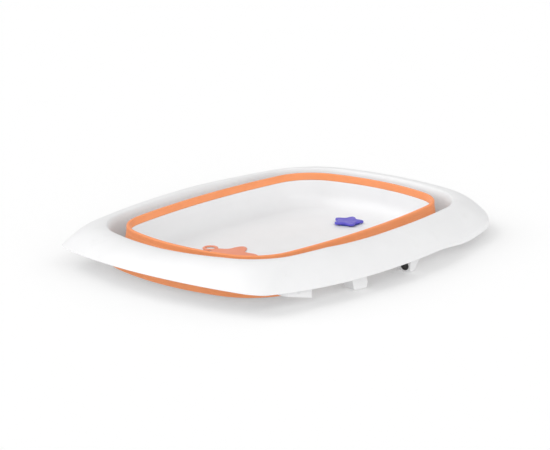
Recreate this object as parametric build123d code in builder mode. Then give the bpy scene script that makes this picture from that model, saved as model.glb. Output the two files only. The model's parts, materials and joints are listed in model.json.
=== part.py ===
"""Folding baby bathtub, folded flat.

A white rim carries four folding legs under its long sides.  The bath basin hangs inside the rim on
a soft bellows and drops out of it when the tub is opened.  The basin floor has a drain with a
star-shaped plug and a soft starfish mat.

Millimetres.  +X is the drain end, +Z is up, and the origin is on the ground under the basin's centre.
"""
import os
from math import asin, atan2, cos, degrees, hypot, radians, sin, sqrt

from build123d import *

os.makedirs("parts", exist_ok=True)

# Plan outlines: half length, half width, end radius, side radius, corner radius.
RIM_OPENING = (349, 246, 517, 1563, 138)
RIM_EDGE_RIGHT = (426, 312, 2000, 1200, 145)
RIM_EDGE_LEFT = (426, 312, 640, 1200, 50)
BAND_INSIDE = (312, 205, 449, 1597, 96)

# Heights above the ground.
CREST_HEIGHT = 80
BAND_TOP_HEIGHT = 77
SIDE_EDGE_HEIGHT = 27.5
CORNER_EDGE_HEIGHT = {"left": 41, "right": 28.5}
END_EDGE_HEIGHT = {"left": 51.5, "right": 48}
BAND_FOOT_HEIGHT = 62
FLOOR_HEIGHT = 8
COLLAR_FOOT_HEIGHT = 10.5

# Rim.  The crest's share is how far out it lies between the opening and the outer edge.
RIM_WALL = 2.5
END_CREST_SHARE = 0.25
SIDE_CREST_SHARE = 0.14
TRIM_MARGIN = 10
TRIM_REACH = {"left": -RIM_EDGE_LEFT[0] - TRIM_MARGIN, "right": RIM_EDGE_RIGHT[0] + TRIM_MARGIN}
ROLL_STEPS = 6
CORNER_X = {"left": -378, "right": 370}
CORNER_Y = 244
INNER_WALL_FOOT = 18
RIB_SPACING = 70
RIB_COUNT = 4
RIB_THICKNESS = 2
RIB_FOOT = 52

# Bellows.
BAND_WALL = 6.5
BAND_ROUND = 2.4
BELLOWS_WALL = 2
BELLOWS_FOOT = 14
BELLOWS_BEND = 26
BELLOWS_BEND_REACH = 6
BELLOWS_TOP = 70
COLLAR_TOP = 24
COLLAR_WALL = 2.5
COLLAR_ROUND = 2

# Basin pan.
PAN_WALL = 2.5
PAN_DRAFT = 6.3
PAN_BEND = 32
BASE_PAD_RADIUS = 15
BASE_PAD_CHAMFER = 0.8
BASE_PAD_X = 215
BASE_PAD_Y = 118
PAD_LIP_WIDTH = 2
PAD_LIP_DEPTH = 2.5

# Drain and plug.
DRAIN_X = 206
DRAIN_BORE = 13
DRAIN_BARREL = 16
DRAIN_FLANGE = 24.5
DRAIN_RECESS_DEPTH = 2
DRAIN_BOSS = 30
DRAIN_FIT = 0.3
GASKET_THICKNESS = 0.8
BARREL_FOOT = 1.2
NUT_RADIUS = 25
PLUG_FIT = 0.05
PLUG_STEM_FOOT = 2.2
PLUG_STEM_CHAMFER = 1
PLUG_SEAL_RADIUS = 24
PLUG_SEAL_THICKNESS = 2.4
PLUG_CORNER = 41
PLUG_VALLEY = 24.5
PLUG_TIP_ROUND = 9
PLUG_VALLEY_ROUND = 7
PLUG_THICKNESS = 4.5
PLUG_TURN = 18

# Starfish mat.
MAT_CENTRE = (-127, 36)
MAT_CORNER = 80
MAT_VALLEY = 36
MAT_TIP_ROUND = 11
MAT_VALLEY_ROUND = 12
MAT_THICKNESS = 3.5
MAT_TURN = 81
MAT_LOOP_REACH = 56
MAT_LOOP_RADIUS = 15.5
MAT_LOOP_HOLE = 10

# Legs.  Each leg lies along the rim's side, hinged at one end, with its sole at the other.
HINGE_X = {"left": -276, "right": 192}
HINGE_HEIGHT = 30
LEG_OFFSET = {"left": 32.7, "right": 32}
LEG_REACH = 172
LEG_HALF_WIDTH = 15
LEG_TOP = 10
LEG_BOTTOM = -4
LEG_WALL = 2.5
FOOT_BOTTOM = -27
FOOT_LENGTH = {"left": 32, "right": 13}
HEEL_RUN = {"left": 6, "right": 24}
LEG_ROUND = 3
BARREL_RADIUS = 11
BORE_BOSS = 7.5
PIN_RADIUS = 3
PIN_EAR_FIT = 0.05
PIN_LEG_FIT = 0.06
PIN_HEAD_RADIUS = 4.5
PIN_HEAD_THICKNESS = 1.4
COVER_FIT = 0.15
COVER_THICKNESS = 2
PAD_RADIUS = 8.5
PAD_FIT = 0.1
PAD_COLLAR_RADIUS = 12
PAD_COLLAR_HEIGHT = 1.5
PAD_SINK = 1.5
PAD_PROUD = 3
PAD_ROUND = 1.4
PAD_DROP = -16
PAD_OUTWARD = 3

# Hinge brackets.
EAR_THICKNESS = 2.5
EAR_GAP = 0.5
EAR_TOP = 9
EAR_BACK = -36
EAR_FRONT = 32
EAR_BACK_BOTTOM = -2
EAR_FRONT_BOTTOM = {"left": -18, "right": -10}
EAR_CHAMFER = 4
BACK_CHAMFER = 10
LEG_SLOT_BACK = -13
SCREW_X = -27
SCREW_SPREAD = 9
SCREW_RADIUS = 1.6
SCREW_HOLE_RADIUS = 1.65
SCREW_HEAD_RADIUS = 3.2
SCREW_HEAD_THICKNESS = 2
SCREW_DEPTH = 12
SCREW_LENGTH = 11
BOSS_RADIUS = 4.5


def grow(outline, amount):
    """The parallel outline that lies the given distance outside."""
    return tuple(value + amount for value in outline)


def tub_outline(right, left=None):
    """A filled rounded rectangle with bowed ends and sides; the left end copies the right unless given."""
    with BuildSketch() as outline:
        with BuildLine():
            for direction, end in ((1, right), (-1, left or right)):
                half_length, half_width, end_radius, side_radius, corner_radius = end
                end_centre = half_length - end_radius
                side_centre = half_width - side_radius
                end_distance = end_radius - corner_radius
                side_distance = side_radius - corner_radius
                span = hypot(end_centre, side_centre)
                along = (end_distance**2 - side_distance**2 + span**2) / (2 * span)
                across = sqrt(end_distance**2 - along**2)
                corner_x = end_centre - (along * end_centre + across * side_centre) / span
                corner_y = (along * side_centre - across * end_centre) / span
                end_angle = degrees(atan2(corner_y, corner_x - end_centre))
                side_angle = degrees(atan2(corner_y - side_centre, corner_x))
                arcs = (
                    ((end_centre, 0), end_radius, 0, end_angle),
                    ((corner_x, corner_y), corner_radius, end_angle, side_angle),
                    ((0, side_centre), side_radius, side_angle, 90),
                )
                for (x, y), radius, start, stop in arcs:
                    CenterArc((direction * x, y), radius, start if direction > 0 else 180 - stop, stop - start)
            mirror(about=Plane.XZ)
        make_face()
    return outline.sketch


def ring_wall(inside, thickness, foot, top):
    """A closed wall that follows an outline."""
    with BuildPart() as wall:
        with BuildSketch(Plane.XY.offset(foot)):
            add(tub_outline(grow(inside, thickness)))
        extrude(amount=top - foot)
        with BuildSketch(Plane.XY.offset(foot)):
            add(tub_outline(inside))
        extrude(amount=top - foot, mode=Mode.SUBTRACT)
    return wall.part


def rim_share(drop, edge_height, crest_share):
    """How far out the rolled rim has come at a depth below its crest: 0 at the opening, 1 at the edge."""
    fall = min(drop / (CREST_HEIGHT - edge_height), 1)
    return crest_share + (1 - crest_share) * sqrt(fall)


def rim_half_section(drop, inset, end, edge):
    """One end's plan outline of the rolled rim at a depth below its crest."""
    side_share = rim_share(drop, SIDE_EDGE_HEIGHT, SIDE_CREST_SHARE)
    end_share = rim_share(drop, END_EDGE_HEIGHT[end], END_CREST_SHARE)
    mean_share = (side_share + end_share) / 2
    shares = (end_share, side_share, mean_share, side_share, mean_share)
    rolled = (inner + (outer - inner) * share for inner, outer, share in zip(RIM_OPENING, edge, shares))
    return grow(rolled, -inset)


def rim_section(drop, inset):
    """Plan section of the rolled rim at a depth below its crest."""
    right = rim_half_section(drop, inset, "right", RIM_EDGE_RIGHT)
    left = rim_half_section(drop, inset, "left", RIM_EDGE_LEFT)
    return tub_outline(right, left)


def rim_solid(inset):
    """The solid under the rim's rolled surface, drawn in and down by inset."""
    with BuildPart() as solid:
        for step in range(ROLL_STEPS + 1):
            drop = (CREST_HEIGHT - SIDE_EDGE_HEIGHT) * (step / ROLL_STEPS) ** 2
            with BuildSketch(Plane.XY.offset(CREST_HEIGHT - inset - drop)):
                add(rim_section(drop, inset))
        loft()
        # The flange dips from its crest to the opening.
        with BuildSketch(Plane.XY.offset(CREST_HEIGHT - inset)):
            add(rim_section(0, 0))
        with BuildSketch(Plane.XY.offset(BAND_TOP_HEIGHT - inset)):
            add(tub_outline(RIM_OPENING))
        loft(mode=Mode.SUBTRACT)
    return solid.part


def star_sketch(corner, valley, turn, tip_round, valley_round):
    """A plump five-armed star centred on the origin; corner is an arm's reach before rounding."""
    corners = []
    for index in range(10):
        angle = radians(turn + 36 * index)
        radius = valley if index % 2 else corner
        corners.append((radius * cos(angle), radius * sin(angle)))
    middle = (corner + valley) / 2
    with BuildSketch() as star:
        Polygon(*corners, align=None)
        fillet([v for v in star.vertices() if hypot(v.X, v.Y) < middle], valley_round)
        fillet([v for v in star.vertices() if hypot(v.X, v.Y) > middle], tip_round)
    return star.sketch


def hinge_plane(end, side):
    """Side view plane of a leg: origin on the hinge axis, x along the leg, y up."""
    half_width = RIM_EDGE_RIGHT[1]
    side_radius = RIM_EDGE_RIGHT[3]
    towards_foot = 1 if end == "left" else -1
    front_or_rear = -1 if side == "front" else 1
    middle_x = HINGE_X[end] + towards_foot * LEG_REACH / 2
    bow = asin(middle_x / side_radius)
    middle_y = half_width - side_radius + side_radius * cos(bow) - LEG_OFFSET[end]
    along = Vector(towards_foot * cos(bow), -towards_foot * front_or_rear * sin(bow), 0)
    middle = Vector(middle_x, front_or_rear * middle_y, HINGE_HEIGHT)
    return Plane(origin=middle - along * (LEG_REACH / 2), x_dir=along, z_dir=along.cross(Vector(0, 0, 1)))


def outward_sign(side, plane):
    """+1 where the plane's normal points out of the tub, otherwise -1."""
    front_or_rear = -1 if side == "front" else 1
    return 1 if plane.z_dir.Y * front_or_rear > 0 else -1


def screw_plane(leg_plane):
    """Level plane on top of a hinge bracket, with its origin between the two screws."""
    origin = leg_plane.from_local_coords((SCREW_X, EAR_TOP, 0))
    return Plane(origin=origin, x_dir=leg_plane.x_dir, z_dir=(0, 0, 1))


LEGS = [(end, side) for side in ("front", "rear") for end in ("left", "right")]


# The rim: a rolled flange round the opening and a wall that hangs inside it.

rim_surface = rim_solid(0)
rim_hollow = rim_solid(RIM_WALL)
rim_middle = rim_solid(RIM_WALL / 2)
inner_wall = ring_wall(RIM_OPENING, RIM_WALL, INNER_WALL_FOOT, BAND_TOP_HEIGHT - RIM_WALL / 2)


with BuildPart() as rim_supports:
    for end, side in LEGS:
        with BuildSketch(screw_plane(hinge_plane(end, side))):
            with GridLocations(0, 2 * SCREW_SPREAD, 1, 2):
                Circle(BOSS_RADIUS)
        extrude(amount=CREST_HEIGHT)
    with BuildSketch(Plane.XY.offset(RIB_FOOT)):
        with GridLocations(2 * RIM_OPENING[0], RIB_SPACING, 2, RIB_COUNT):
            Rectangle(2 * (RIM_EDGE_LEFT[0] - RIM_OPENING[0]), RIB_THICKNESS)
    extrude(amount=CREST_HEIGHT)
    with BuildSketch():
        add(tub_outline(grow(RIM_OPENING, RIM_WALL / 2)))
    extrude(amount=2 * CREST_HEIGHT, mode=Mode.SUBTRACT)
    add(rim_middle, mode=Mode.INTERSECT)

with BuildPart() as rim_frame:
    add(rim_surface)
    add(rim_hollow, mode=Mode.SUBTRACT)
    # The outer edge sweeps up towards the corners, and again towards the middle of each end.
    with BuildSketch(Plane.XZ):
        with BuildLine():
            side_sweep = ThreePointArc(
                (CORNER_X["left"], CORNER_EDGE_HEIGHT["left"]),
                (0, SIDE_EDGE_HEIGHT),
                (CORNER_X["right"], CORNER_EDGE_HEIGHT["right"]),
            )
            Polyline(
                side_sweep @ 1, (TRIM_REACH["right"], CORNER_EDGE_HEIGHT["right"]), (TRIM_REACH["right"], 0),
                (TRIM_REACH["left"], 0), (TRIM_REACH["left"], CORNER_EDGE_HEIGHT["left"]), side_sweep @ 0,
            )
        make_face()
    extrude(amount=RIM_EDGE_RIGHT[1] + TRIM_MARGIN, both=True, mode=Mode.SUBTRACT)
    for end, reach in TRIM_REACH.items():
        with BuildSketch(Plane.YZ.offset(CORNER_X[end])):
            with BuildLine():
                end_sweep = ThreePointArc(
                    (-CORNER_Y, CORNER_EDGE_HEIGHT[end]),
                    (0, END_EDGE_HEIGHT[end]),
                    (CORNER_Y, CORNER_EDGE_HEIGHT[end]),
                )
                Polyline(end_sweep @ 1, (CORNER_Y, 0), (-CORNER_Y, 0), end_sweep @ 0)
            make_face()
        extrude(amount=reach - CORNER_X[end], mode=Mode.SUBTRACT)
    add(rim_supports.part)
    with BuildSketch():
        add(tub_outline(RIM_OPENING))
    extrude(amount=2 * CREST_HEIGHT, mode=Mode.SUBTRACT)
    add(inner_wall)
    for end, side in LEGS:
        with BuildSketch(screw_plane(hinge_plane(end, side))):
            with GridLocations(0, 2 * SCREW_SPREAD, 1, 2):
                Circle(SCREW_HOLE_RADIUS)
        extrude(amount=SCREW_DEPTH, mode=Mode.SUBTRACT)

rim_frame.part.label = "rim_frame"
export_step(rim_frame.part, "parts/rim_frame.step")


# The bellows: a collar moulded round the foot of the rim's wall, a sloping wall, and the basin's band.

with BuildPart() as bellows_collar:
    with BuildSketch(Plane.XY.offset(COLLAR_FOOT_HEIGHT)):
        add(tub_outline(grow(RIM_OPENING, RIM_WALL + COLLAR_WALL)))
    extrude(amount=COLLAR_TOP - COLLAR_FOOT_HEIGHT)
    with BuildSketch(Plane.XY.offset(COLLAR_FOOT_HEIGHT)):
        add(tub_outline(grow(RIM_OPENING, -COLLAR_WALL)))
    extrude(amount=COLLAR_TOP - COLLAR_FOOT_HEIGHT, mode=Mode.SUBTRACT)
    fillet(bellows_collar.faces().sort_by(Axis.Z)[0].edges(), radius=COLLAR_ROUND)
    add(inner_wall, mode=Mode.SUBTRACT)

bellows_collar.part.label = "bellows_collar"
export_step(bellows_collar.part, "parts/bellows_collar.step")


def bellows_cone(thickness):
    """The solid inside the sloping bellows wall, grown by thickness."""
    with BuildPart() as cone:
        with BuildSketch(Plane.XY.offset(BELLOWS_FOOT)):
            add(tub_outline(grow(RIM_OPENING, thickness - COLLAR_WALL - BELLOWS_WALL)))
        with BuildSketch(Plane.XY.offset(BELLOWS_BEND)):
            add(tub_outline(grow(BAND_INSIDE, thickness + BAND_WALL + BELLOWS_BEND_REACH)))
        with BuildSketch(Plane.XY.offset(BELLOWS_TOP)):
            add(tub_outline(grow(BAND_INSIDE, thickness + BAND_WALL)))
        loft(ruled=True)
    return cone.part


bellows_outside = bellows_cone(BELLOWS_WALL)
bellows_inside = bellows_cone(0)

with BuildPart() as bellows_wall:
    add(bellows_outside)
    add(bellows_inside, mode=Mode.SUBTRACT)

bellows_wall.part.label = "bellows_wall"
export_step(bellows_wall.part, "parts/bellows_wall.step")

with BuildPart() as bellows_band:
    with BuildSketch(Plane.XY.offset(BAND_FOOT_HEIGHT)):
        add(tub_outline(grow(BAND_INSIDE, BAND_WALL)))
    extrude(amount=BAND_TOP_HEIGHT - BAND_FOOT_HEIGHT)
    with BuildSketch(Plane.XY.offset(BAND_FOOT_HEIGHT)):
        add(tub_outline(BAND_INSIDE))
    extrude(amount=BAND_TOP_HEIGHT - BAND_FOOT_HEIGHT, mode=Mode.SUBTRACT)
    fillet(bellows_band.faces().sort_by(Axis.Z)[-1].edges(), radius=BAND_ROUND)

bellows_band.part.label = "bellows_band"
export_step(bellows_band.part, "parts/bellows_band.step")

# The basin: a draughted pan with rounded bends, a lip under the band and a stepped drain hole.


def pan_solid(thickness):
    """The pan's inside space, grown by thickness."""
    floor = FLOOR_HEIGHT - thickness
    with BuildPart() as solid:
        with BuildSketch(Plane.XY.offset(BAND_FOOT_HEIGHT)):
            add(tub_outline(grow(BAND_INSIDE, thickness)))
        extrude(amount=floor - BAND_FOOT_HEIGHT, taper=PAN_DRAFT)
        fillet(solid.faces().sort_by(Axis.Z)[0].edges(), radius=PAN_BEND + thickness)
    return solid.part


pan_outside = pan_solid(PAN_WALL)
pan_inside = pan_solid(0)
pan_underside = FLOOR_HEIGHT - PAN_WALL
recess_floor = FLOOR_HEIGHT - DRAIN_RECESS_DEPTH
drain_boss_foot = recess_floor - PAN_WALL
pad_places = [(x, y) for x in (-BASE_PAD_X, BASE_PAD_X) for y in (-BASE_PAD_Y, BASE_PAD_Y)]

with BuildPart() as basin_pan:
    add(pan_outside)
    with BuildSketch(Plane.XY.offset(BAND_FOOT_HEIGHT)):
        add(tub_outline(grow(BAND_INSIDE, BAND_WALL)))
    extrude(amount=-PAN_WALL)
    with BuildSketch(Plane.XY.offset(FLOOR_HEIGHT)):
        with Locations(*pad_places):
            Circle(BASE_PAD_RADIUS + PAD_LIP_WIDTH)
    extrude(amount=-PAN_WALL - PAD_LIP_DEPTH)
    with BuildSketch(Plane.XY.offset(pan_underside)):
        with Locations(*pad_places):
            Circle(BASE_PAD_RADIUS)
    extrude(amount=-PAD_LIP_DEPTH, mode=Mode.SUBTRACT)
    with BuildSketch(Plane.XY.offset(FLOOR_HEIGHT)):
        with Locations((DRAIN_X, 0)):
            Circle(DRAIN_BOSS)
    extrude(amount=drain_boss_foot - FLOOR_HEIGHT)
    add(pan_inside, mode=Mode.SUBTRACT)
    with BuildSketch(Plane.XY.offset(FLOOR_HEIGHT)):
        with Locations((DRAIN_X, 0)):
            Circle(DRAIN_FLANGE + DRAIN_FIT)
    extrude(amount=-DRAIN_RECESS_DEPTH, mode=Mode.SUBTRACT)
    with BuildSketch(Plane.XY.offset(FLOOR_HEIGHT)):
        with Locations((DRAIN_X, 0)):
            Circle(DRAIN_BARREL + DRAIN_FIT)
    extrude(amount=-FLOOR_HEIGHT, mode=Mode.SUBTRACT)

basin_pan.part.label = "basin_pan"
export_step(basin_pan.part, "parts/basin_pan.step")

with BuildPart() as base_pads:
    with BuildSketch():
        with Locations(*pad_places):
            Circle(BASE_PAD_RADIUS - PAD_FIT)
    extrude(amount=pan_underside)
    chamfer(base_pads.faces().group_by(Axis.Z)[0].edges(), length=BASE_PAD_CHAMFER)

base_pads.part.label = "base_pads"
export_step(base_pads.part, "parts/base_pads.step")


def drain_ring(outside, inside, foot, top):
    """A flat ring round the drain's axis."""
    with BuildPart() as ring:
        with BuildSketch(Plane.XY.offset(foot)):
            with Locations((DRAIN_X, 0)):
                Circle(outside)
                Circle(inside, mode=Mode.SUBTRACT)
        extrude(amount=top - foot)
    return ring.part


gasket_top = recess_floor + GASKET_THICKNESS
drain_flange = drain_ring(DRAIN_FLANGE, DRAIN_BORE, gasket_top, FLOOR_HEIGHT)
drain_barrel = drain_ring(DRAIN_BARREL, DRAIN_BORE, BARREL_FOOT, FLOOR_HEIGHT)

with BuildPart() as drain_seat:
    add(drain_flange)
    add(drain_barrel)

drain_seat.part.label = "drain_seat"
export_step(drain_seat.part, "parts/drain_seat.step")

drain_gasket = drain_ring(DRAIN_FLANGE, DRAIN_BARREL + DRAIN_FIT, recess_floor, gasket_top)
drain_gasket.label = "drain_gasket"
export_step(drain_gasket, "parts/drain_gasket.step")

drain_nut = drain_ring(NUT_RADIUS, DRAIN_BARREL, BARREL_FOOT, drain_boss_foot)
drain_nut.label = "drain_nut"
export_step(drain_nut, "parts/drain_nut.step")

# The plug: a stem that slides into the drain, a flat seal, and a star-shaped grip on top.

with BuildPart() as plug_seal:
    with BuildSketch(Plane.XY.offset(FLOOR_HEIGHT)):
        with Locations((DRAIN_X, 0)):
            Circle(PLUG_SEAL_RADIUS)
    extrude(amount=PLUG_SEAL_THICKNESS)
    with BuildSketch(Plane.XY.offset(PLUG_STEM_FOOT)):
        with Locations((DRAIN_X, 0)):
            Circle(DRAIN_BORE - PLUG_FIT)
    extrude(amount=FLOOR_HEIGHT - PLUG_STEM_FOOT)
    chamfer(plug_seal.faces().sort_by(Axis.Z)[0].edges(), length=PLUG_STEM_CHAMFER)

plug_seal.part.label = "plug_seal"
export_step(plug_seal.part, "parts/plug_seal.step")

plug_outline = star_sketch(PLUG_CORNER, PLUG_VALLEY, PLUG_TURN, PLUG_TIP_ROUND, PLUG_VALLEY_ROUND)

with BuildPart() as plug_star:
    with BuildSketch(Plane.XY.offset(FLOOR_HEIGHT + PLUG_SEAL_THICKNESS)):
        with Locations((DRAIN_X, 0)):
            add(plug_outline)
    extrude(amount=PLUG_THICKNESS)
    fillet(plug_star.faces().sort_by(Axis.Z)[-1].edges(), radius=PLUG_THICKNESS / 2)

plug_star.part.label = "plug_star"
export_step(plug_star.part, "parts/plug_star.step")

# The starfish mat lies on the basin floor, with a hanging loop at one arm's tip.

mat_outline = star_sketch(MAT_CORNER, MAT_VALLEY, MAT_TURN, MAT_TIP_ROUND, MAT_VALLEY_ROUND)
loop_x = MAT_LOOP_REACH * cos(radians(MAT_TURN))
loop_y = MAT_LOOP_REACH * sin(radians(MAT_TURN))

with BuildPart() as star_mat:
    with BuildSketch(Plane.XY.offset(FLOOR_HEIGHT)):
        with Locations(MAT_CENTRE):
            add(mat_outline)
            with Locations((loop_x, loop_y)):
                Circle(MAT_LOOP_RADIUS)
                Circle(MAT_LOOP_HOLE, mode=Mode.SUBTRACT)
    extrude(amount=MAT_THICKNESS)
    fillet(star_mat.faces().sort_by(Axis.Z)[-1].edges(), radius=MAT_THICKNESS / 3)

star_mat.part.label = "star_mat"
export_step(star_mat.part, "parts/star_mat.step")

# The legs and their hinges.


def leg_profile(end):
    """Side view of a leg: a straight shank, a round hinge end and a deep foot."""
    heel = LEG_REACH - FOOT_LENGTH[end]
    with BuildSketch() as profile:
        Polygon(
            (0, LEG_TOP), (LEG_REACH, LEG_TOP), (LEG_REACH, FOOT_BOTTOM), (heel, FOOT_BOTTOM),
            (heel - HEEL_RUN[end], LEG_BOTTOM), (0, LEG_BOTTOM), align=None,
        )
        fillet([v for v in profile.vertices() if v.X > 1], LEG_ROUND)
        Circle(BARREL_RADIUS)
    return profile.sketch


def inner_profile(end, gap):
    """The leg's inside space seen from the side, drawn in by gap, round the hinge boss."""
    with BuildSketch() as profile:
        add(leg_profile(end))
        offset(amount=-LEG_WALL - gap, mode=Mode.REPLACE)
        Circle(BORE_BOSS + gap, mode=Mode.SUBTRACT)
    return profile.sketch


screw_solids = []

for end, side in LEGS:
    place = f"{side}_{end}"
    leg_plane = hinge_plane(end, side)
    outward = outward_sign(side, leg_plane)
    inner_face = leg_plane.offset(-outward * LEG_HALF_WIDTH)
    pad_origin = leg_plane.from_local_coords((LEG_REACH, PAD_DROP, outward * PAD_OUTWARD))
    sole_plane = Plane(origin=pad_origin, x_dir=(0, 0, 1), z_dir=leg_plane.x_dir)
    ear_half_width = LEG_HALF_WIDTH + EAR_GAP + EAR_THICKNESS

    with BuildPart() as leg_shell:
        with BuildSketch(leg_plane):
            add(leg_profile(end))
        extrude(amount=LEG_HALF_WIDTH, both=True)
        with BuildSketch(inner_face):
            add(inner_profile(end, 0))
        extrude(amount=outward * (2 * LEG_HALF_WIDTH - LEG_WALL), mode=Mode.SUBTRACT)
        with BuildSketch(sole_plane.offset(-LEG_WALL)):
            Circle(PAD_COLLAR_RADIUS)
        extrude(amount=LEG_WALL + PAD_COLLAR_HEIGHT)
        with BuildSketch(sole_plane.offset(PAD_COLLAR_HEIGHT - PAD_SINK)):
            Circle(PAD_RADIUS + PAD_FIT)
        extrude(amount=PAD_SINK, mode=Mode.SUBTRACT)
        with BuildSketch(leg_plane):
            Circle(PIN_RADIUS + PIN_LEG_FIT)
        extrude(amount=LEG_HALF_WIDTH, both=True, mode=Mode.SUBTRACT)

    leg_shell.part.label = f"leg_shell_{place}"
    export_step(leg_shell.part, f"parts/leg_shell_{place}.step")

    with BuildPart() as leg_cover:
        with BuildSketch(inner_face):
            add(inner_profile(end, COVER_FIT))
        extrude(amount=outward * COVER_THICKNESS)

    leg_cover.part.label = f"leg_cover_{place}"
    export_step(leg_cover.part, f"parts/leg_cover_{place}.step")

    with BuildPart() as foot_pad:
        with BuildSketch(sole_plane.offset(PAD_COLLAR_HEIGHT - PAD_SINK)):
            Circle(PAD_RADIUS)
        extrude(amount=PAD_SINK + PAD_PROUD - PAD_COLLAR_HEIGHT)
        fillet(foot_pad.faces().sort_by_distance(leg_plane.origin)[-1].edges(), radius=PAD_ROUND)

    foot_pad.part.label = f"foot_pad_{place}"
    export_step(foot_pad.part, f"parts/foot_pad_{place}.step")

    with BuildPart() as hinge_pin:
        with BuildSketch(leg_plane):
            Circle(PIN_RADIUS)
        extrude(amount=ear_half_width, both=True)
        for direction in (1, -1):
            with BuildSketch(leg_plane.offset(direction * ear_half_width)):
                Circle(PIN_HEAD_RADIUS)
            extrude(amount=direction * PIN_HEAD_THICKNESS)

    hinge_pin.part.label = f"hinge_pin_{place}"
    export_step(hinge_pin.part, f"parts/hinge_pin_{place}.step")

    bracket_top = screw_plane(leg_plane)
    head_seat = bracket_top.offset(-EAR_THICKNESS)

    with BuildPart() as hinge_bracket:
        with BuildSketch(leg_plane):
            Polygon(
                (EAR_BACK, EAR_TOP), (EAR_FRONT, EAR_TOP), (EAR_FRONT, EAR_FRONT_BOTTOM[end]),
                (EAR_BACK, EAR_BACK_BOTTOM), align=None,
            )
        extrude(amount=ear_half_width, both=True)
        with BuildSketch(leg_plane):
            with Locations(((LEG_SLOT_BACK + EAR_FRONT + 1) / 2, 0)):
                Rectangle(EAR_FRONT + 1 - LEG_SLOT_BACK, 2 * BARREL_RADIUS + 2 * EAR_FRONT)
        extrude(amount=LEG_HALF_WIDTH + EAR_GAP, both=True, mode=Mode.SUBTRACT)
        top_edges = hinge_bracket.faces().sort_by(Axis.Z)[-1].edges()
        chamfer(top_edges.sort_by(Axis((0, 0, 0), leg_plane.z_dir * outward))[-1], length=EAR_CHAMFER)
        back_corner = leg_plane.from_local_coords((EAR_BACK, 0, outward * ear_half_width))
        chamfer(hinge_bracket.edges().filter_by(Axis.Z).sort_by_distance(back_corner)[0], length=BACK_CHAMFER)
        with BuildSketch(leg_plane):
            Circle(PIN_RADIUS + PIN_EAR_FIT)
        extrude(amount=ear_half_width, both=True, mode=Mode.SUBTRACT)
        with BuildSketch(bracket_top):
            with GridLocations(0, 2 * SCREW_SPREAD, 1, 2):
                Circle(SCREW_HOLE_RADIUS)
        extrude(amount=-2 * CREST_HEIGHT, mode=Mode.SUBTRACT)
        with BuildSketch(head_seat):
            with GridLocations(0, 2 * SCREW_SPREAD, 1, 2):
                Circle(SCREW_HEAD_RADIUS + EAR_GAP)
        extrude(amount=-CREST_HEIGHT, mode=Mode.SUBTRACT)

    hinge_bracket.part.label = f"hinge_bracket_{place}"
    export_step(hinge_bracket.part, f"parts/hinge_bracket_{place}.step")

    with BuildPart() as screw_pair:
        with BuildSketch(head_seat.offset(-SCREW_HEAD_THICKNESS)):
            with GridLocations(0, 2 * SCREW_SPREAD, 1, 2):
                Circle(SCREW_HEAD_RADIUS)
        extrude(amount=SCREW_HEAD_THICKNESS)
        with BuildSketch(head_seat):
            with GridLocations(0, 2 * SCREW_SPREAD, 1, 2):
                Circle(SCREW_RADIUS)
        extrude(amount=EAR_THICKNESS + SCREW_LENGTH)

    screw_solids.extend(screw_pair.part.solids())

bracket_screws = Compound(children=screw_solids)
bracket_screws.label = "bracket_screws"
export_step(bracket_screws, "parts/bracket_screws.step")
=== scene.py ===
"""Looks for the folding baby bathtub: rim, bellows, basin, plug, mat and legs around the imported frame."""
import json
import math

import bmesh
import bpy
import numpy as np
from mathutils import Matrix, Vector

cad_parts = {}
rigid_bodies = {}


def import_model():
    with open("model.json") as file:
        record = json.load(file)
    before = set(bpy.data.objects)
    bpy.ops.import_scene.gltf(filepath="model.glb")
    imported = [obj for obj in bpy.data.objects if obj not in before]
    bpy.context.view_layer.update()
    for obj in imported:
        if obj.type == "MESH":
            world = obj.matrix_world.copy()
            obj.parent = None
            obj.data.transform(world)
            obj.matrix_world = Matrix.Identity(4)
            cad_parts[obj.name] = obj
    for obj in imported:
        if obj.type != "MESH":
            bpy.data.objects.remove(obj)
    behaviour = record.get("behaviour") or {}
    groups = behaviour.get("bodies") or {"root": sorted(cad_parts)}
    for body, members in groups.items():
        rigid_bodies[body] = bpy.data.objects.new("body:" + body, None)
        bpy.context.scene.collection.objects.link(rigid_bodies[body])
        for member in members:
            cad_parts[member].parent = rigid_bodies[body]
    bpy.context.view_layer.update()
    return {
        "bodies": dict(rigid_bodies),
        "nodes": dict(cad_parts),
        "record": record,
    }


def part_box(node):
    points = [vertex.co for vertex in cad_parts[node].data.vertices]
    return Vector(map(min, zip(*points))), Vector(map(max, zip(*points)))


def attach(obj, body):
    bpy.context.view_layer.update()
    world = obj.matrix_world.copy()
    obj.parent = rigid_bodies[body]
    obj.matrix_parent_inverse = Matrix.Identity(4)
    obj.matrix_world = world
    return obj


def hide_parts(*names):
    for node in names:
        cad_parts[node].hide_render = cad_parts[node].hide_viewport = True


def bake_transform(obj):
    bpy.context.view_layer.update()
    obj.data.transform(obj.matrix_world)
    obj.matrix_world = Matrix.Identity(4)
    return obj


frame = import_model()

MM = 0.001

# --- Driving dimensions, in metres, read from the frame where it knows them ---------------------------------

rim_low, rim_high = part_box("rim_frame")
band_low, band_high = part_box("bellows_band")
collar_low, collar_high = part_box("bellows_collar")
mat_low, mat_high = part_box("star_mat")
star_low, star_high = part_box("plug_star")
seal_low, seal_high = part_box("plug_seal")
seat_low, seat_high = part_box("drain_seat")
pads_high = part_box("base_pads")[1]

BAND_TOP_Z = band_high.z
BAND_FOOT_Z = band_low.z
FLOOR_Z = mat_low.z
COLLAR_FOOT_Z = collar_low.z
COLLAR_TOP_Z = collar_high.z
WALL_FOOT_Z = rim_low.z
RIM_HALF_WIDTH = rim_high.y

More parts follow.
